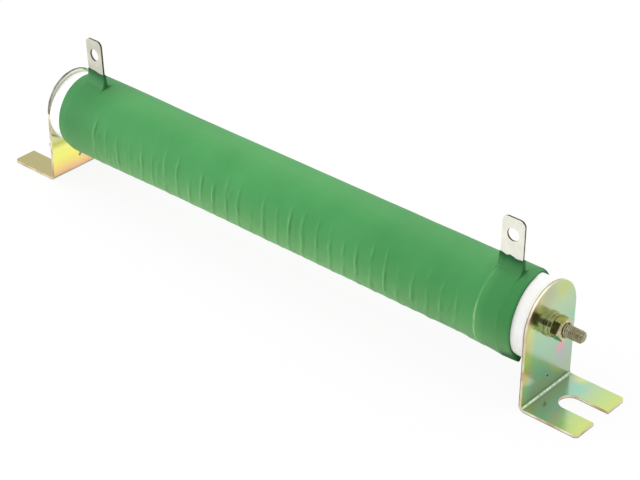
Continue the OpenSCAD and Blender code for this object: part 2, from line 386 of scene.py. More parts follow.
def new_material(name, **constants):
    """A Principled material with constant sockets set, and its Object coordinates in mm."""
    material = bpy.data.materials.new(name)
    material.use_nodes = True
    tree = material.node_tree
    shader = tree.nodes["Principled BSDF"]
    for socket, value in constants.items():
        shader.inputs[socket.replace("_", " ")].default_value = value
    coords = add_node(tree, "ShaderNodeTexCoord")
    in_mm = add_node(tree, "ShaderNodeMapping", values={"Scale": (1 / MM,) * 3},
                     links={"Vector": coords.outputs["Object"]})
    return material, tree, shader, in_mm.outputs[0]


def texture_surface(tree, shader, pattern, rough, bump, depth_mm):
    """Take roughness, from low to high, and bump, of a strength and depth, from one pattern."""
    shine = add_node(tree, "ShaderNodeMapRange", values={"To Min": rough[0], "To Max": rough[1]},
                     links={"Value": pattern})
    tree.links.new(shine.outputs[0], shader.inputs["Roughness"])
    relief = add_node(tree, "ShaderNodeBump", values={"Strength": bump, "Distance": depth_mm * MM},
                      links={"Height": pattern})
    tree.links.new(relief.outputs[0], shader.inputs["Normal"])


def green_cement():
    """Silicone cement, brushed on and baked: satin green, paler with a painted sheen and highlights,
    and darker with a deeper tone and painted shade, from two vertex attributes.
    """
    cloud_mm, brush_mm = 26, 3
    material, tree, shader, place = new_material("green_silicone_cement", Specular_IOR_Level=0.25)
    clouds = add_node(tree, "ShaderNodeTexNoise", values={"Scale": 1 / cloud_mm, "Detail": 3.0},
                      links={"Vector": place})
    tone = add_node(tree, "ShaderNodeValToRGB", links={"Fac": clouds.outputs[0]},
                    stops=((0.3, "#3F934C"), (0.7, "#489C55")))
    # Painted sheen and highlight.
    painted_sheen = add_node(tree, "ShaderNodeAttribute", {"attribute_name": "painted_sheen"})
    sheened = add_node(tree, "ShaderNodeMix", {"data_type": "RGBA"}, {"B": to_linear("#9ACB8B")},
                    {"Factor": painted_sheen.outputs["Fac"], "A": tone.outputs[0]})
    # Deeper tone and painted shade.
    deep_tone_and_shade = add_node(tree, "ShaderNodeAttribute", {"attribute_name": "deep_tone_and_shade"})
    deep = add_node(tree, "ShaderNodeMix", {"data_type": "RGBA"}, {"B": to_linear("#10552A")},
                    {"Factor": deep_tone_and_shade.outputs["Fac"], "A": sheened.outputs["Result"]})
    tree.links.new(deep.outputs["Result"], shader.inputs["Base Color"])
    brushed = add_node(tree, "ShaderNodeTexNoise", values={"Scale": 1 / brush_mm, "Detail": 4.0},
                       links={"Vector": place})
    texture_surface(tree, shader, brushed.outputs[0], rough=(0.5, 0.66), bump=0.35, depth_mm=0.05)
    return material


def steatite():
    """Pressed and fired steatite: matt white with a faint warm mottle and fine grain."""
    mottle_mm, grain_mm = 6, 0.8
    material, tree, shader, place = new_material("white_steatite")
    mottle = add_node(tree, "ShaderNodeTexNoise", values={"Scale": 1 / mottle_mm, "Detail": 5.0},
                      links={"Vector": place})
    tone = add_node(tree, "ShaderNodeValToRGB", links={"Fac": mottle.outputs[0]},
                    stops=((0.3, "#F8F8F4"), (0.7, "#FDFDFA")))
    tree.links.new(tone.outputs[0], shader.inputs["Base Color"])
    grain = add_node(tree, "ShaderNodeTexNoise", values={"Scale": 1 / grain_mm, "Detail": 2.0},
                     links={"Vector": place})
    texture_surface(tree, shader, grain.outputs[0], rough=(0.5, 0.65), bump=0.2, depth_mm=0.03)
    return material


def worked_metal(name, dark, light, patch_mm, rough):
    """Metal with two tones in patches of the given size, and a slightly uneven shine."""
    material, tree, shader, place = new_material(name, Metallic=1.0)
    tones = add_node(tree, "ShaderNodeTexNoise", values={"Scale": 1 / patch_mm, "Detail": 4.0},
                     links={"Vector": place})
    tone = add_node(tree, "ShaderNodeValToRGB", links={"Fac": tones.outputs[0]},
                    stops=((0.35, dark), (0.65, light)))
    tree.links.new(tone.outputs[0], shader.inputs["Base Color"])
    texture_surface(tree, shader, tones.outputs[0], rough, bump=0.15, depth_mm=0.02)
    return material


def film_on_front_edge(tree, axes, out, strength):
    """Strength of the film's change along the plate's front edge, which leans in at the round top."""
    edge_from, edge_to, lean, foot_mm = -9.5, -18.5, 0.4, 8.0
    over = add_node(tree, "ShaderNodeMath", {"operation": "SUBTRACT"}, {1: PLATE_ARC_Z},
                    {0: axes["Z"]})
    over = add_node(tree, "ShaderNodeMath", {"operation": "MAXIMUM"}, {1: 0.0}, {0: over.outputs[0]})
    front = add_node(tree, "ShaderNodeMath", {"operation": "MULTIPLY_ADD"}, {1: -lean},
                     {0: over.outputs[0], 2: axes["Y"]})
    edge = add_node(tree, "ShaderNodeMapRange", {"interpolation_type": "SMOOTHSTEP"},
                    {"From Min": edge_from, "From Max": edge_to, "To Max": strength},
                    {"Value": front.outputs[0]})
    on_plate = add_node(tree, "ShaderNodeMapRange", values={"From Min": foot_mm, "From Max": 0.0},
                        links={"Value": out})
    on_edge = add_node(tree, "ShaderNodeMath", {"operation": "MULTIPLY"},
                       links={0: edge.outputs[0], 1: on_plate.outputs[0]})
    return on_edge.outputs[0]


def film_hue(tree, place, axes, past, film):
    """Colour of the film: its place on the ramp of stops drifts along the sheet.

    It grows by lead per mm out along the foot, by rise per mm of height and by rim at the plate's
    front edge, and strays by mottle in patches.
    """
    mottle_mm = 16
    out = add_node(tree, "ShaderNodeMath", {"operation": "MAXIMUM"}, {1: 0.0}, {0: past})
    along = add_node(tree, "ShaderNodeMath", {"operation": "MULTIPLY"}, {1: film["lead"]},
                     {0: out.outputs[0]})
    along = add_node(tree, "ShaderNodeMath", {"operation": "MULTIPLY_ADD"}, {1: film["rise"]},
                     {0: axes["Z"], 2: along.outputs[0]})
    drift = add_node(tree, "ShaderNodeTexNoise",
                     values={"Scale": 1 / mottle_mm, "Detail": 2.0, "Distortion": 0.5},
                     links={"Vector": place})
    stray = add_node(tree, "ShaderNodeMapRange",
                     values={"To Min": -film["mottle"], "To Max": film["mottle"]},
                     links={"Value": drift.outputs[0]})
    along = add_node(tree, "ShaderNodeMath", links={0: along.outputs[0], 1: stray.outputs[0]})
    along = add_node(tree, "ShaderNodeMath", links={
        0: along.outputs[0], 1: film_on_front_edge(tree, axes, out.outputs[0], film["rim"])})
    hue = add_node(tree, "ShaderNodeValToRGB", links={"Fac": along.outputs[0]}, stops=film["stops"])
    return hue.outputs[0]


def stained(tree, hue, place, centre, radius, code, strength):
    """A colour with a round, soft stain on it."""
    apart = add_node(tree, "ShaderNodeVectorMath", {"operation": "DISTANCE"}, {1: centre}, {0: place})
    spot = add_node(tree, "ShaderNodeMapRange", {"interpolation_type": "SMOOTHSTEP"},
                    {"From Min": radius, "From Max": 0.0, "To Max": strength},
                    {"Value": apart.outputs["Value"]})
    mixed = add_node(tree, "ShaderNodeMix", {"data_type": "RGBA"}, {"B": to_linear(code)},
                     {"Factor": spot.outputs[0], "A": hue})
    return mixed.outputs["Result"]


def bend_shade_and_highlight(tree, hue, axes, past, rolled):
    """A film's colour, darkened along the inside of the bend as painted shade, with a broken painted
    highlight along its middle.
    """
    darken_from, darken_to, darken_share = 2.2, 1.2, 0.55
    bright_from, bright_to = 0.75, 0.3
    fold = add_node(tree, "ShaderNodeMath", {"operation": "SUBTRACT"}, links={0: past, 1: axes["Z"]})
    fold = add_node(tree, "ShaderNodeMath", {"operation": "ADD"}, {1: SHEET_T}, {0: fold.outputs[0]})
    fold = add_node(tree, "ShaderNodeMath", {"operation": "ABSOLUTE"}, links={0: fold.outputs[0]})
    darkened = add_node(tree, "ShaderNodeMapRange", {"interpolation_type": "SMOOTHSTEP"},
                    {"From Min": darken_from, "From Max": darken_to, "To Max": darken_share},
                    {"Value": fold.outputs[0]})
    bent = add_node(tree, "ShaderNodeMix", {"data_type": "RGBA"}, {"B": to_linear("#6F9070")},
                    {"Factor": darkened.outputs[0], "A": hue})
    middle = add_node(tree, "ShaderNodeMapRange", {"interpolation_type": "SMOOTHSTEP"},
                      {"From Min": bright_from, "From Max": bright_to}, {"Value": fold.outputs[0]})
    broken_up = add_node(tree, "ShaderNodeMapRange", links={"Value": rolled},
                    values={"From Min": 0.36, "From Max": 0.66, "To Min": 0.1, "To Max": 0.8})
    highlit = add_node(tree, "ShaderNodeMath", {"operation": "MULTIPLY"},
                      links={0: middle.outputs[0], 1: broken_up.outputs[0]})
    bright = add_node(tree, "ShaderNodeMix", {"data_type": "RGBA"}, {"B": to_linear("#EAF8E4")},
                      {"Factor": highlit.outputs[0], "A": bent.outputs["Result"]})
    return bright.outputs["Result"]


def passivated_zinc(name, film):
    """Zinc plate with yellow chromate: a bright film whose hue drifts along the bent sheet.

    Each of the film's stains has a centre, a radius, a colour and a strength.
    """
    rolled_mm = 2.2
    material, tree, shader, place = new_material(name, Metallic=1.0)
    axes = add_node(tree, "ShaderNodeSeparateXYZ", links={"Vector": place}).outputs
    side = add_node(tree, "ShaderNodeMath", {"operation": "ABSOLUTE"}, links={0: axes["X"]})
    past = add_node(tree, "ShaderNodeMath", {"operation": "SUBTRACT"}, {1: PLATE_X},
                    {0: side.outputs[0]}).outputs[0]
    rolled = add_node(tree, "ShaderNodeTexNoise", values={"Scale": 1 / rolled_mm, "Detail": 4.0},
                      links={"Vector": place}).outputs[0]
    hue = film_hue(tree, place, axes, past, film)
    for stain in film["stains"]:
        hue = stained(tree, hue, place, *stain)
    # Painted shade along the bend, and a painted highlight down its middle.
    hue = bend_shade_and_highlight(tree, hue, axes, past, rolled)
    tree.links.new(hue, shader.inputs["Base Color"])
    texture_surface(tree, shader, rolled, rough=(0.12, 0.25), bump=0.12, depth_mm=0.02)
    return material


# The near bracket's film: pale green, yellower towards its top and front edge, with a pink stain.
NEAR_FILM = {
    "stops": ((0.0, "#A9B79A"), (0.1, "#A7BA9E"), (0.18, "#A5C2A6"), (0.3, "#A3CAAD"),
              (0.46, "#B6CDA4"), (0.61, "#BED58E"), (0.8, "#CAD882"), (0.9, "#CCBE86"),
              (1.0, "#CDB79C")),
    "lead": 1 / 36, "rise": 1 / 98, "rim": 0.46, "mottle": 0.1,
    "stains": (((PLATE_X, 8.9, 20.9), 5.2, "#E79CAB", 0.9),
               ((PLATE_X, 11.5, 15.0), 8.0, "#B2B3B8", 0.75),
               ((PLATE_X, -17.0, 18.0), 9.0, "#C9AE6E", 0.7),
               ((PLATE_X, -19.0, 33.0), 9.0, "#CDB887", 0.8),
               ((PLATE_X, -4.0, 54.0), 13.0, "#B8B096", 0.7),
               ((PLATE_X, 8.0, 52.0), 7.0, "#C8C870", 0.65),
               ((PLATE_X + 9, 10.0, SHEET_T), 8.0, "#93CDBD", 0.6),
               ((PLATE_X + 7, 18.0, SHEET_T), 6.0, "#DADB8C", 0.8),
               ((PLATE_X + 2, -16.0, SHEET_T), 6.0, "#B9B45E", 0.7)),
}
# The far bracket's film: from beige on the foot over pink and gold to nearly white at the top.
FAR_FILM = {
    "stops": ((0.0, "#B1A976"), (0.05, "#B1A976"), (0.07, "#F2B998"), (0.1, "#F6CB96"),
              (0.17, "#FCE488"), (0.27, "#FDF97F"), (0.4, "#FBFA90"), (0.47, "#CACD68"),
              (0.6, "#EAEAC4"), (0.9, "#E6EBDA")),
    "lead": 0.0, "rise": 1 / 44, "rim": 0.0, "mottle": 0.03,
    "stains": (),
}


# Tools for meshes

def whole(bm):
    """All of a mesh, as the operators take it."""
    return bm.verts[:] + bm.edges[:] + bm.faces[:]


def cut(bm, geom, place, normal, keep=True):
    """Cut a mesh along a plane, and keep or clear what lies past it."""
    return bmesh.ops.bisect_plane(bm, geom=geom, dist=CUT_GAP, plane_co=place, plane_no=normal,
                                  clear_outer=not keep)["geom"]


def node_copy(node):
    """A CAD node's mesh in millimetres, with its loose triangles joined into whole faces."""
    bm = bmesh.new()
    bm.from_mesh(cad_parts[node].data)
    bmesh.ops.scale(bm, vec=(1 / MM,) * 3, verts=bm.verts)
    bmesh.ops.remove_doubles(bm, verts=bm.verts, dist=MERGE_GAP)
    bmesh.ops.dissolve_limit(bm, angle_limit=math.radians(LEVEL_ANGLE), verts=bm.verts,
                              edges=bm.edges)
    return bm


def bevel(bm, edges, width, segments):
    """Bevel the given edges, and give the new faces."""
    return bmesh.ops.bevel(bm, geom=edges, offset=width, offset_type="OFFSET", affect="EDGES",
                           segments=segments, profile=0.5, material=-1, clamp_overlap=True)["faces"]


def soften(bm, width, segments=2):
    """Round the sharp edges of a mesh."""
    least = math.radians(WORN_ANGLE)
    sharp = [edge for edge in bm.edges if edge.is_manifold and edge.calc_face_angle() > least]
    bevel(bm, sharp, width, segments)


def spun(outline, steps):
    """A closed outline of (x, radius) pairs turned once about the tube's axis."""
    bm = bmesh.new()
    points = [bm.verts.new((x, -radius, AXIS_H)) for x, radius in outline]
    edges = [bm.edges.new(pair) for pair in zip(points, points[1:] + points[:1])]
    bmesh.ops.spin(bm, geom=points + edges, cent=(0, 0, AXIS_H), axis=(1, 0, 0),
                   angle=2 * math.pi, steps=steps, use_merge=True)
    return bm


def finish_piece(name, bm, node, materials, sharp=40.0, flat=False):
    """Make a millimetre mesh the piece that stands for a CAD node.

    A flat piece keeps the shading of its broad faces level up to their rounded edges.
    """
    bmesh.ops.recalc_face_normals(bm, faces=bm.faces)
    bmesh.ops.scale(bm, vec=(MM, MM, MM), verts=bm.verts)
    mesh = bpy.data.meshes.new(name)
    bm.to_mesh(mesh)
    bm.free()
    for material in materials:
        mesh.materials.append(material)
    mesh.shade_smooth()
    mesh.set_sharp_from_angle(angle=math.radians(sharp))
    piece = bpy.data.objects.new(name, mesh)
    bpy.context.scene.collection.objects.link(piece)
    if flat:
        level = piece.modifiers.new("level_faces", "WEIGHTED_NORMAL")
        level.weight = 100
        level.keep_sharp = True
    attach(piece, "root")
    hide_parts(node)


# Tube and coat

def tube():
    """The ceramic tube, with its four rims rounded."""
    bm = spun([(-TUBE_END, TUBE_R), (TUBE_END, TUBE_R),
               (TUBE_END, TUBE_BORE_R), (-TUBE_END, TUBE_BORE_R)], TUBE_STEPS)
    soften(bm, TUBE_ROUNDING, segments=3)
    return bm


def coat_rings():
    """Places along the tube where the coat's skin has a ring of vertices."""
    wound = int(WOUND_HALF / WIRE_LEAD * RINGS_PER_TURN)
    rings = [i * WIRE_LEAD / RINGS_PER_TURN for i in range(-wound, wound + 1)]
    first_edge = [-d for d in reversed(RINGS_EDGE)]
    band = [*RINGS_BEFORE, *first_edge, *RINGS_ACROSS, *RINGS_EDGE, *RINGS_PAST]
    near = [BAND_X + d for d in band]
    return [-x for x in reversed(near)] + rings + near


def wrinkle(x, turn, course):
    """A thin wrinkle along the middle lines of a slow noise, broken into patches."""
    line = abs(patches(course, turn, along=4.5, around=55, seed=2.6))
    broken = WRINKLE_MEAN + WRINKLE_SPREAD * patches(x, turn, along=11, around=22, seed=9.4)
    fewer = WRINKLE_LEAST + (1 - WRINKLE_LEAST) * ramp(x, *WRINKLE_PLACES)
    return max(0.0, 1 - line / WRINKLE_WIDTH) ** 2 * clamp01(broken) * fewer


def ridge_strength(x, level):
    """How far the wire shows: below an uneven start, less underneath, and not past the winding."""
    start = RIDGE_START + RIDGE_START_STRAY * patches(x, turn=0.3, along=5.3, around=1, seed=5.1)
    below = RIDGE_LEAST + (1 - RIDGE_LEAST) * ramp(level, start, start - RIDGE_GROWTH)
    flat = 1 - FLATTENING * ramp(level, *FLAT_LEVELS)
    return below * flat * ramp(abs(x), WOUND_HALF, WOUND_HALF - WOUND_FADE)


def ridge(x, turn, level):
    """Rise of the coat over the wire, its painted highlight and sheen there, and the painted shade
    beside it.

    The coat levelled and sank while it was wet, so the wire shows on the lower half, and small
    wrinkles run between its turns.
    """
    if abs(x) > WOUND_HALF:
        return 0.0, 0.0, 0.0
    sunk = x + SAG * share(level, *SAG_LEVELS) ** SAG_CURVE
    wander = sum(size * patches(x, turn, *patch) for size, *patch in RIDGE_WANDER)
    laps = sunk / WIRE_LEAD + turn / 360
    offset = (laps - round(laps)) * WIRE_LEAD + wander
    shown = clamp01(RIDGE_MEAN + RIDGE_SPREAD * patches(x, turn, along=6, around=20, seed=8.1))
    # Painted highlight on the ridge's lit side, painted shade on its other side and along the
    # wrinkles.
    pale = stroke(offset, *PALE_LINE) * clamp01(shown - PALE_LINE_LEAST)
    pale += stroke(offset, *PALE_SIDE) * shown
    fold = wrinkle(x, turn, sunk + WRINKLE_WANDER * wander)
    deep = max(stroke(offset, *DEEP_SIDE) * shown, WRINKLE_SHADE * fold)
    grown = RIDGE_FAR + stacked(x, RIDGE_GAINS)
    rise = RIDGE_H * mound(offset, RIDGE_HALF) * shown * grown + WRINKLE_H * fold
    strength = ridge_strength(x, level)
    return rise * strength, pale * strength, deep * strength


def band_rise(x):
    """How fully the coat stands up over a band, over its shoulder and falling away to the end."""
    out = abs(x) - BAND_X
    if out < 0:
        return ramp(out, -BAND_COVER - BAND_SHOULDER[end_of(x)], -BAND_COVER)
    return share(abs(x), COAT_END, BAND_X + BAND_COVER)


def bead(x, turn):
    """Rise of the coat's lap along the near band's edges, and its painted highlight there."""
    full = BEAD_LEAST + (1 - BEAD_LEAST) * ramp(turn, *BEAD_TURNS)
    full *= BEAD_MEAN + BEAD_SPREAD * patches(2.2, turn, along=1, around=11, seed=1.9)
    rise = sum(height * mound(x - place, half) for place, height, half in BEADS)
    return rise * full, stroke(x - INNER_BEAD_X, *BEAD_PALE) * full


def crease(x, turn):
    """How far the coat has sunk into the creases beside the lugs, from 0 to 1."""
    across = max(bell(x - place, CREASE_WIDTH) for place in CREASES)
    return across * ramp(turn, *CREASE_OPENS) * ramp(turn, *CREASE_CLOSES)


def run_reach(x, turn):
    """How far the tip of the run has crept on past the coat's end, from 0 to 1."""
    across = clamp01(1 - abs(turn - RUN_TURN) / REACH_WIDTH) ** REACH_CURVE
    return across * ramp(x, COAT_END - REACH_LENGTH, COAT_END)


def run_rise(x, turn):
    """Rise of the coat along its run."""
    thick = RUN_H + RUN_TIP_H * ramp(x, *RUN_TIP)
    return thick * bell(turn - RUN_TURN, RUN_WIDTH) * ramp(x, COAT_END - RUN_LENGTH, COAT_END)


def coat_depth(x, turn, radius):
    """How deep the green is: towards the far end; with painted shade towards the near end and under
    it, in the run and at its tip; and with a painted shadow at the rim.
    """
    far = stacked(x, DEEPER_FAR)
    near = stacked(x, DEEPER_NEAR)
    near += DEEPER_UNDER * ramp(x, *UNDER_PLACES) * ramp(turn, *UNDER_TURNS)
    rim = RIM_SHADE * ramp(radius, *RIM_RADII)
    run = bell(turn - RUN_SHADE_TURN, RUN_SHADE_WIDTH) * ramp(x, *RUN_SHADE_PLACES)
    tip = clamp01(REACH_SHADE * run_reach(x, turn))
    return max(far, near, rim, run, tip)


def end_shift(x, y):
    """Shift along X of the coat near its ends."""
    shift, front, back = END_SHIFT[end_of(x)]
    return (shift + (front if y < 0 else back) * y) * ramp(abs(x), COAT_END - END_LENGTH, COAT_END)


def within_width(rise, y, radius):
    """A rise of the coat, held back where it would pass the part's width."""
    room = (COAT_R + BAND_RISE) / max(SIDEWAYS_LEAST, abs(y) / radius) - radius
    if rise <= FREE_ROOM * room:
        return rise
    rest = 1 - FREE_ROOM
    return room * (FREE_ROOM + rest * math.tanh((rise / room - FREE_ROOM) / rest))


def shape_coat_skin(bm):
    """Raise bands, wire ridges, small lumps and the hanging run on the coat's plain skin.

    The two attributes say how much painted sheen and highlight, and how much deeper tone and painted
    shade, the green has at each vertex.
    """
    painted_sheen = bm.verts.layers.float.new("painted_sheen")
    deep_tone_and_shade = bm.verts.layers.float.new("deep_tone_and_shade")
    for vert in bm.verts:
        x, y, z = vert.co.x, vert.co.y, vert.co.z - AXIS_H
        radius = math.hypot(y, z)
        turn = math.degrees(math.atan2(z, -y))
        level = math.degrees(math.asin(z / radius))
        vert.co.x += RUN_REACH * run_reach(x, turn) + end_shift(x, y)
        # Deeper tone and painted shade.
        vert[deep_tone_and_shade] = coat_depth(x, turn, radius)
        if radius < RAISED_LEAST_R:
            continue
        band = band_rise(x)
        rise, pale, deep = ridge(x, turn, level)
        lap, lap_pale = bead(x, turn)
        sunk = crease(x, turn)
        # Painted sheen by level, and painted highlights along the ridges and the bead.
        paler = stacked(level, PALER)
        vert[painted_sheen] = paler + (1 - paler) * max(pale, lap_pale)
        # Painted shade in the creases and beside the ridges and wrinkles.
        vert[deep_tone_and_shade] = max(vert[deep_tone_and_shade], CREASE_SHADE * sunk, deep)
        lump = noise.noise(Vector((x / LUMP_LENGTH, y / LUMP_WIDTH, z / LUMP_WIDTH))) * (1 - band)
        slump = ramp(level, *SLUMP_LEVELS) * ramp(abs(x), COAT_END, COAT_END - END_LENGTH)
        rise += band * BAND_RISE + lap + run_rise(x, turn) - CREASE_DEPTH * sunk
        rise += LUMP_H * lump + SLUMP_H * slump
        scale = 1 + within_width(rise, y, radius) / radius
        vert.co.y = y * scale
        vert.co.z = AXIS_H + z * scale


def lug_frame(side):
    """Foot, facing normal and width direction of the lug at an end of the tube."""
    twist = math.radians(FAR_LUG_TWIST if side == FAR else 0)
    facing = Vector((-math.sin(twist), -math.cos(twist), 0))
    across = Vector((math.cos(twist), -math.sin(twist), 0))
    return Vector((side * BAND_X, LUG_Y, FOLD_Z)), facing, across


def leg_roof(y):
    """Height above the axis of the coat over a strip's legs, or 0 past where they leave the band."""
    top = COAT_R + BAND_RISE
    front, back = math.radians(90 - FRONT_LEG_TURN), math.radians(90 - BACK_LEG_TURN)
    if not -top * math.cos(front) < y < top * math.cos(back):
        return 0.0
    return min((top + y * math.cos(front)) / math.sin(front),
               (top - y * math.cos(back)) / math.sin(back))


def coat_edge(side, along):
    """Height of the coat's brushed edge on a lug, eased between the places where it was drawn."""
    wave = EDGE_WAVES[side]
    for (a, low), (b, high) in zip(wave, wave[1:]):
        if along < b:
            return CLIMB_Z + low + (high - low) * ramp(along, a, b)
    return CLIMB_Z + wave[-1][1]


def cut_round_lug(bm, foot, facing):
    """Cut the coat finely along both faces of a lug, and give the vertices of the skin there."""
    half_length, half_depth, least_height = LUG_PATCH
    faces = []
    for face in bm.faces:
        middle = face.calc_center_median()
        beside = abs(middle.x - foot.x) < half_length and abs(middle.y) < half_depth
        if beside and middle.z > AXIS_H + least_height:
            faces.append(face)
    verts = dict.fromkeys(v for f in faces for v in f.verts)
    edges = dict.fromkeys(e for f in faces for e in f.edges)
    geom = [*verts, *edges, *faces]
    for gap in LUG_CUTS:
        for way in (-1, 1):
            place = foot + facing * way * (LUG_HALF_T + COAT_ON_LUG + gap)
            geom = cut(bm, geom, place, facing)
    return [v for v in dict.fromkeys(geom) if isinstance(v, bmesh.types.BMVert)]


def raise_coat_to_lug(bm, side):
    """Draw the coat up over the legs of a strip and the foot of its lug, with painted shade on the
    front leg and at the lug's foot.
    """
    deep_tone_and_shade = bm.verts.layers.float["deep_tone_and_shade"]
    foot, facing, across = lug_frame(side)
    for vert in cut_round_lug(bm, foot, facing):
        roof = AXIS_H + leg_roof(vert.co.y)
        if roof > vert.co.z:
            vert.co.z += (roof - vert.co.z) * ramp(abs(vert.co.x - foot.x), *ROOF_SIDE)
        off = (vert.co - foot).dot(facing)
        along = (vert.co - foot).dot(across)
        gap = max(0.0, abs(off) - LUG_HALF_T - COAT_ON_LUG)
        within = ramp(abs(along), *SWEEP_SIDE)
        # Painted shade on the front leg.
        if off > 0:
            vert[deep_tone_and_shade] = max(vert[deep_tone_and_shade], LEG_SHADE * ramp(gap, LEG_SHADE_LENGTH, 0) * within)
        sweep = SWEEP_FRONT if off > 0 else SWEEP_BACK
        if gap > sweep:
            continue
        # The sweep is a quarter circle that meets the lug along its face.
        climb = (1 - math.sqrt(1 - (1 - gap / sweep) ** 2)) * within
        # Painted shade, deepest where the coat climbs the lug.
        vert[deep_tone_and_shade] = max(vert[deep_tone_and_shade], climb ** CLIMB_SHADE_CURVE)
        top = coat_edge(side, along)
        if top > vert.co.z:
            vert.co.z += (top - vert.co.z) * climb


def coat():
    """The baked cement coat, in one closed skin."""
    outline = [(-COAT_END, TUBE_R + COAT_SEAT)]
    outline += [(-COAT_END + inset, COAT_R - drop) for inset, drop in LIP]
    outline += [(x, COAT_R) for x in coat_rings()]
    outline += [(COAT_END - inset, COAT_R - drop) for inset, drop in reversed(LIP)]
    outline += [(COAT_END, TUBE_R + COAT_SEAT)]
    bm = spun(outline, COAT_STEPS)
    shape_coat_skin(bm)
    for side in (FAR, NEAR):
        raise_coat_to_lug(bm, side)
    return bm


# Terminals, brackets and fasteners

def terminal(node, side):
    """A tinned strip terminal with worn edges; the lug's sheared edges take the second material."""
    bm = node_copy(node)
    soften(bm, STRIP_WEAR)
    facing = lug_frame(side)[1]
    cut(bm, whole(bm), (0, 0, LUG_FROM_Z), (0, 0, 1))
    bm.normal_update()
    for face in bm.faces:
        on_lug = face.calc_center_median().z > LUG_FROM_Z
        face.material_index = int(on_lug and abs(face.normal.dot(facing)) < LUG_EDGE_MOST)
    return bm


def bracket_finish(face):
    """The material slot of a bracket's face.

    The film on a side that faces away from the tube has a slot of its own. An edge is dark in the
    part that lies towards the tube and the floor, on the far bracket all round the top, and a
    tooling hole has a dark, shaded wall: painted shadow and shade, which on the near edges also marks
    the torn part of the shear.
    """
    middle, normal = face.calc_center_median(), face.normal
    x = abs(middle.x) - plate_low.x
    above_bend = middle.z > BEND_OUT_R - BEND_SLACK
    on_plate = abs(normal.x) > FLAT_LEAST and x < SHEET_T + SLACK and above_bend
    on_foot = abs(normal.z) > FLAT_LEAST and middle.z < SHEET_T + SLACK
    on_bend = abs(normal.y) < BEND_MOST_Y and x < BEND_OUT_R and middle.z < BEND_OUT_R
    if on_plate or on_foot or on_bend:
        return OUTER_FILM if normal.x * end_of(middle.x) > OUTWARD_LEAST else FILM
    if end_of(middle.x) == FAR:
        dark_edge = middle.z > PLATE_ARC_Z
    elif middle.z > BEND_OUT_R:
        dark_edge = x < DARK_EDGE_WIDTH
    else:
        dark_edge = x > BEND_OUT_R and middle.z < DARK_EDGE_WIDTH
    in_hole = math.hypot(middle.y, middle.z - TOOL_HOLE_Z) < TOOL_HOLE_MOST
    shaded = normal.z < SHADED_MOST_Z or end_of(middle.x) == FAR
    return SHADED_TORN_EDGE if dark_edge or (in_hole and shaded) else CUT_EDGE


def bracket(node):
    """A bent sheet bracket with worn edges."""
    bm = node_copy(node)
    soften(bm, SHEET_WEAR)
    for side in (NEAR, FAR):
        cut(bm, whole(bm), (side * (plate_low.x + DARK_EDGE_WIDTH), 0, 0), (1, 0, 0))
    cut(bm, whole(bm), (0, 0, DARK_EDGE_WIDTH), (0, 0, 1))
    bm.normal_update()
    for face in bm.faces:
        face.material_index = bracket_finish(face)
    return bm


def thread():
    """The bolt's thread: one turn, repeated, cut to length and tapered at its tip."""
    bm = bmesh.new()
    points = [bm.verts.new((way * THREAD_PITCH, depth - THREAD_R, AXIS_H))
              for way, depth in THREAD_PROFILE]
    edges = [bm.edges.new(pair) for pair in zip(points, points[1:])]
    bmesh.ops.spin(bm, geom=points + edges, cent=(0, 0, AXIS_H), axis=(1, 0, 0),
                   dvec=(THREAD_PITCH / THREAD_STEPS, 0, 0), angle=2 * math.pi, steps=THREAD_STEPS)
    one_turn = whole(bm)
    first = math.floor(THREAD_START / THREAD_PITCH) - 2
    last = math.ceil(bolt_high.x / THREAD_PITCH) + 2
    for lap in range(1, last - first):
        made = bmesh.ops.duplicate(bm, geom=one_turn)["geom"]
        bmesh.ops.translate(bm, vec=(lap * THREAD_PITCH, 0, 0),
                            verts=[v for v in made if isinstance(v, bmesh.types.BMVert)])
    bmesh.ops.translate(bm, vec=(first * THREAD_PITCH, 0, 0), verts=bm.verts)
    bmesh.ops.remove_doubles(bm, verts=bm.verts, dist=CUT_GAP)
    for place, way in ((THREAD_START, -1), (bolt_high.x, 1)):
        cut(bm, whole(bm), (place, 0, 0), (way, 0, 0), keep=False)
    bmesh.ops.holes_fill(bm, edges=bm.edges)
    for vert in bm.verts:
        arm = Vector((vert.co.y, vert.co.z - AXIS_H))
        most = THREAD_TIP_R + bolt_high.x - vert.co.x
        if arm.length > most:
            arm *= most / arm.length
            vert.co.y, vert.co.z = arm.x, arm.y + AXIS_H
    return bm


def bolt():
    """The through bolt: its head and shank, and a rolled thread on the nut's end."""
    bm = node_copy("through_bolt")
    cut(bm, whole(bm), (THREAD_START, 0, 0), (1, 0, 0), keep=False)
    bmesh.ops.holes_fill(bm, edges=bm.edges)
    soften(bm, BOLT_WEAR)
    rolled = thread()
    mesh = bpy.data.meshes.new("thread")
    rolled.to_mesh(mesh)
    rolled.free()
    bm.from_mesh(mesh)
    bpy.data.meshes.remove(mesh)
    return bm


def washer(node, wear):
    """A washer with worn edges."""
    bm = node_copy(node)
    soften(bm, wear)
    return bm


def nut():
    """The tightened nut, with worn edges; the countersink of its hole takes the second material, the
    darker bolt steel, as painted shade round the stud.
    """
    bm = node_copy("hex_nut")
    face_x = max(vert.co.x for vert in bm.verts)

    def on_rim(vert):
        in_hole = math.hypot(vert.co.y, vert.co.z - AXIS_H) < NUT_HOLE_MOST
        return in_hole and vert.co.x > face_x - SLACK

    rim = [edge for edge in bm.edges if all(on_rim(vert) for vert in edge.verts)]
    for face in bevel(bm, rim, NUT_SINK, segments=1):
        face.material_index = 1
    soften(bm, NUT_WEAR)
    tightened = Matrix.Rotation(math.radians(NUT_TURN), 3, "X")
    bmesh.ops.rotate(bm, cent=(0, 0, AXIS_H), matrix=tightened, verts=bm.verts)
    return bm


# Studio

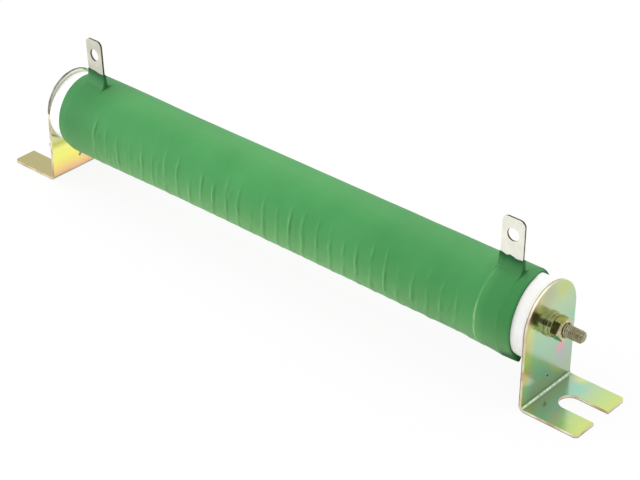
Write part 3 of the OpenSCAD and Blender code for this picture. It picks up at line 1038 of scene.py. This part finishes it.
def add_floor():
    """A pale floor that shows white to the lens and to bright metal, and keeps a soft shadow."""
    half_width, white_share = 4.0, 0.9
    bm = bmesh.new()
    bmesh.ops.create_grid(bm, x_segments=1, y_segments=1, size=half_width)
    mesh = bpy.data.meshes.new("floor")
    bm.to_mesh(mesh)
    bm.free()
    floor = bpy.data.objects.new("floor", mesh)
    bpy.context.scene.collection.objects.link(floor)
    material = bpy.data.materials.new("white_paper")
    material.use_nodes = True
    tree = material.node_tree
    paper = tree.nodes["Principled BSDF"]
    paper.inputs["Base Color"].default_value = to_linear("#F4F4F2")
    paper.inputs["Roughness"].default_value = 0.9
    rays = add_node(tree, "ShaderNodeLightPath")
    seen = add_node(tree, "ShaderNodeMath", {"operation": "MAXIMUM"}, links={
        0: rays.outputs["Is Camera Ray"], 1: rays.outputs["Is Glossy Ray"]})
    part = add_node(tree, "ShaderNodeMath", {"operation": "MULTIPLY"}, {1: white_share},
                    {0: seen.outputs[0]})
    white = add_node(tree, "ShaderNodeEmission", values={"Color": (1, 1, 1, 1), "Strength": 1.0})
    mix = add_node(tree, "ShaderNodeMixShader", links={
        0: part.outputs[0], 1: paper.outputs[0], 2: white.outputs[0]})
    tree.links.new(mix.outputs[0], tree.nodes["Material Output"].inputs["Surface"])
    mesh.materials.append(material)


def add_world():
    """An even white tent, dimmer on the side where the camera stands; white to the lens."""
    world = bpy.data.worlds.new("studio")
    world.use_nodes = True
    tree = world.node_tree
    tent = tree.nodes["Background"]
    tent.inputs["Color"].default_value = (1, 1, 1, 1)
    coords = add_node(tree, "ShaderNodeTexCoord")
    tall = add_node(tree, "ShaderNodeVectorMath", {"operation": "MULTIPLY"}, {1: DIM_TALL},
                    {0: coords.outputs["Generated"]})
    way = add_node(tree, "ShaderNodeVectorMath", {"operation": "NORMALIZE"},
                   links={0: tall.outputs[0]})
    close = add_node(tree, "ShaderNodeVectorMath", {"operation": "DOT_PRODUCT"}, {1: DIM_WAY},
                     {0: way.outputs[0]})
    dim_from, dim_to = DIM_CLOSENESS
    dim = add_node(tree, "ShaderNodeMapRange", {"interpolation_type": "SMOOTHSTEP"},
                   {"From Min": dim_from, "From Max": dim_to, "To Min": TENT_BRIGHT,
                    "To Max": TENT_DIM}, {"Value": close.outputs["Value"]})
    tree.links.new(dim.outputs[0], tent.inputs["Strength"])
    rays = add_node(tree, "ShaderNodeLightPath")
    seen = add_node(tree, "ShaderNodeBackground", values={"Color": (1, 1, 1, 1), "Strength": 1.0})
    mix = add_node(tree, "ShaderNodeMixShader", links={
        0: rays.outputs["Is Camera Ray"], 1: tent.outputs[0], 2: seen.outputs[0]})
    tree.links.new(mix.outputs[0], tree.nodes["World Output"].inputs["Surface"])
    bpy.context.scene.world = world


def add_camera():
    """The camera at the photograph's viewing angle."""
    azimuth = math.radians(CAMERA_AZIMUTH)
    elevation = math.radians(CAMERA_ELEVATION)
    reach = math.cos(elevation)
    back = Vector((math.sin(azimuth) * reach, -math.cos(azimuth) * reach, math.sin(elevation)))
    right = Vector((0, 0, 1)).cross(back).normalized()
    turn = Matrix((right, back.cross(right), back)).transposed()
    roll = Matrix.Rotation(math.radians(CAMERA_ROLL), 3, "Z")
    data = bpy.data.cameras.new("photo_camera")
    data.lens = CAMERA_LENS
    data.sensor_width = CAMERA_SENSOR
    data.clip_start = 0.01
    camera = bpy.data.objects.new("photo_camera", data)
    camera.matrix_world = Matrix.Translation(CAMERA_PLACE) @ (turn @ roll).to_4x4()
    bpy.context.scene.collection.objects.link(camera)
    bpy.context.scene.camera = camera


def add_light(name, size, power, place):
    """A square soft box that faces the middle of the part."""
    data = bpy.data.lights.new(name, "AREA")
    data.size = size
    data.energy = power
    lamp = bpy.data.objects.new(name, data)
    lamp.location = place
    lamp.rotation_euler = (LIGHT_AIM - Vector(place)).to_track_quat("-Z", "Y").to_euler()
    bpy.context.scene.collection.objects.link(lamp)


# The scene

add_camera()
for light in LIGHTS:
    add_light(*light)
add_world()
add_floor()
bpy.context.scene.view_settings.view_transform = "Standard"

cement = green_cement()
ceramic = steatite()
near_zinc = passivated_zinc("yellow_passivated_zinc", NEAR_FILM)
far_zinc = passivated_zinc("golden_passivated_zinc", FAR_FILM)
# A sheared edge of the plated sheet: bright, with a warm cast from the chromate.
cut_zinc = worked_metal("sheared_zinc_edge", "#BFA070", "#F1E8D0", patch_mm=9.0, rough=(0.25, 0.45))
# Rough and grey, on the torn part of a sheared edge, and standing as painted shadow and shade: along
# the tube and the floor, round the far bracket's top and on a tooling hole's shaded wall.
torn_and_shaded_zinc = worked_metal("torn_and_shaded_zinc_edge", "#5F5952", "#918A81", patch_mm=3.0, rough=(0.4, 0.6))
# Strip dipped in hot tin: silver white, with a soft shine.
tin = worked_metal("hot_tinned_strip", "#ECEADC", "#F8F7EC", patch_mm=6.0, rough=(0.2, 0.4))
# The same strip, greyer, on the far terminal.
dull_tin = worked_metal("greyer_tinned_strip", "#C8C7B8", "#D6D5C6", patch_mm=6.0,
                        rough=(0.2, 0.4))
# A sheared edge of the strip, bare of tin: dark and dull.
cut_tin = worked_metal("sheared_strip_edge", "#3B3729", "#6E6753", patch_mm=3.0, rough=(0.35, 0.55))
# The bolt's plated steel, bronzed with age: a dark olive shine.
bolt_steel = worked_metal("bronzed_plated_steel", "#7F7B60", "#ADA789", patch_mm=3.5,
                          rough=(0.12, 0.28))
# Zinc on the nut and washers, passivated clear: straw coloured and nearly a mirror.
nut_zinc = worked_metal("clear_passivated_zinc", "#A8A27A", "#CEC8A2", patch_mm=4.0,
                        rough=(0.05, 0.14))
# Resistance wire with its oxide: dull dark grey.
wire = worked_metal("oxidised_resistance_wire", "#5D5A55", "#827D75", patch_mm=2.0,
                    rough=(0.4, 0.6))

finish_piece("fired_tube", tube(), "ceramic_tube", [ceramic])
finish_piece("cement_coat", coat(), "coating", [cement], sharp=50.0)
for side, end, strip, film in ((FAR, "left", dull_tin, far_zinc), (NEAR, "right", tin, near_zinc)):
    finish_piece("tinned_terminal_" + end, terminal("terminal_" + end, side), "terminal_" + end,
                 [strip, cut_tin], flat=True)
    finish_piece("bent_bracket_" + end, bracket("bracket_" + end), "bracket_" + end,
                 [film, cut_zinc, torn_and_shaded_zinc, near_zinc], flat=True)
    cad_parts["centring_bush_" + end].data.materials[0] = ceramic
finish_piece("threaded_bolt", bolt(), "through_bolt", [bolt_steel])
finish_piece("plain_washer", washer("flat_washer", FLAT_WASHER_WEAR), "flat_washer",
             [nut_zinc], flat=True)
finish_piece("split_washer", washer("spring_washer", SPRING_WASHER_WEAR), "spring_washer",
             [nut_zinc], flat=True)
finish_piece("nut", nut(), "hex_nut", [nut_zinc, bolt_steel], flat=True)
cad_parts["resistance_winding"].data.materials[0] = wire
